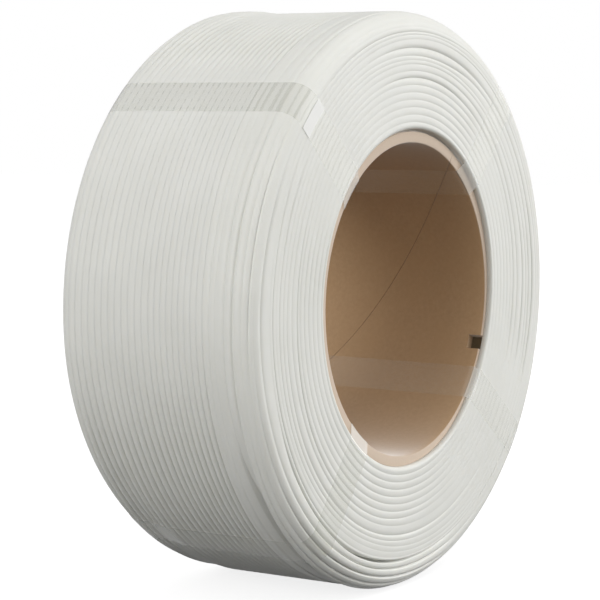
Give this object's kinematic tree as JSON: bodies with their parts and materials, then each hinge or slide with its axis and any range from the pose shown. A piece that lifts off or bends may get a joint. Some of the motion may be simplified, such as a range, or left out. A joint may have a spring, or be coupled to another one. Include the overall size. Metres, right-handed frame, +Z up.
{
  "type": "spool-less filament coil",
  "caption": "Spool-less coil of 3-D printer filament wound on a short cardboard tube with a key notch, tied by clear tape straps.",
  "frame": {"origin": "on the winding axis, in the middle of the core's bore; the coil stands on its outer turns at z = -77.95 mm", "axes": "+Z up with the coil standing on its outer turns; +Y along the core's bore, away from the rim with the key notch; +X completes the frame"},
  "size_m": [0.1562, 0.0605, 0.1561],
  "materials": {
    "kraft_cardboard": "matt uncoated kraft, darker along its ply seam",
    "filament_plastic": "satin, warm off-white",
    "clear_tape": "clear film, slightly grey"
  },
  "bodies": {
    "root": {"core_tube": "kraft_cardboard", "filament_inner_layers": "filament_plastic", "filament_outer_layer": "filament_plastic", "tape_strap_upper_right": "clear_tape", "tape_strap_upper_left": "clear_tape", "tape_strap_lower_left": "clear_tape", "tape_strap_lower_right": "clear_tape"}
  },
  "joints": []
}
